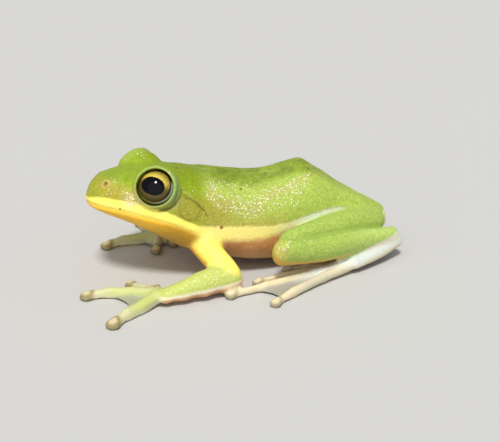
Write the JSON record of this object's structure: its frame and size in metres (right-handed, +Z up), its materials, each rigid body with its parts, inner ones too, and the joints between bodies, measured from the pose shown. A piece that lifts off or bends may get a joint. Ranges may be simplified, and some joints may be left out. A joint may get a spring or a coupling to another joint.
{
  "type": "chinese flying frog",
  "caption": "Life-size crouching tree frog with webbed hands and feet, folded hind legs and raised head, as a still museum-like model.",
  "frame": {"origin": "on the floor under the middle of the frog's bounding box", "axes": "+X towards the rump, so the snout points to -X; the frog's left side is towards -Y; +Z up from the floor it sits on"},
  "size_m": [0.0834, 0.0644, 0.03],
  "materials": {
    "skin_back": "moist, finely granular bright green skin",
    "skin_yellow": "moist smooth yellow skin",
    "skin_cheek": "thin smooth olive skin",
    "skin_digits": "moist smooth cream skin, translucent at the webs",
    "eye": "wet clear cornea over a gold iris and a dark oval pupil"
  },
  "bodies": {
    "root": {"eardrum_left": "skin_cheek", "eardrum_right": "skin_cheek", "eye_left": "eye", "eye_right": "eye", "finger_1_left": "skin_digits", "finger_1_right": "skin_digits", "finger_2_left": "skin_digits", "finger_2_right": "skin_digits", "finger_3_left": "skin_digits", "finger_3_right": "skin_digits", "finger_4_left": "skin_digits", "finger_4_right": "skin_digits", "foot_left": "skin_digits", "foot_right": "skin_digits", "forearm_left": "skin_back", "forearm_right": "skin_back", "hand_left": "skin_digits", "hand_right": "skin_digits", "head": "skin_back", "lower_jaw": "skin_yellow", "pelvis": "skin_back", "shank_left": "skin_back", "shank_right": "skin_back", "tarsus_left": "skin_digits", "tarsus_right": "skin_digits", "thigh_left": "skin_back", "thigh_right": "skin_back", "toe_1_left": "skin_digits", "toe_1_right": "skin_digits", "toe_2_left": "skin_digits", "toe_2_right": "skin_digits", "toe_3_left": "skin_digits", "toe_3_right": "skin_digits", "toe_4_left": "skin_digits", "toe_4_right": "skin_digits", "toe_5_left": "skin_digits", "toe_5_right": "skin_digits", "torso": "skin_back", "upper_arm_left": "skin_yellow", "upper_arm_right": "skin_yellow"}
  },
  "joints": []
}
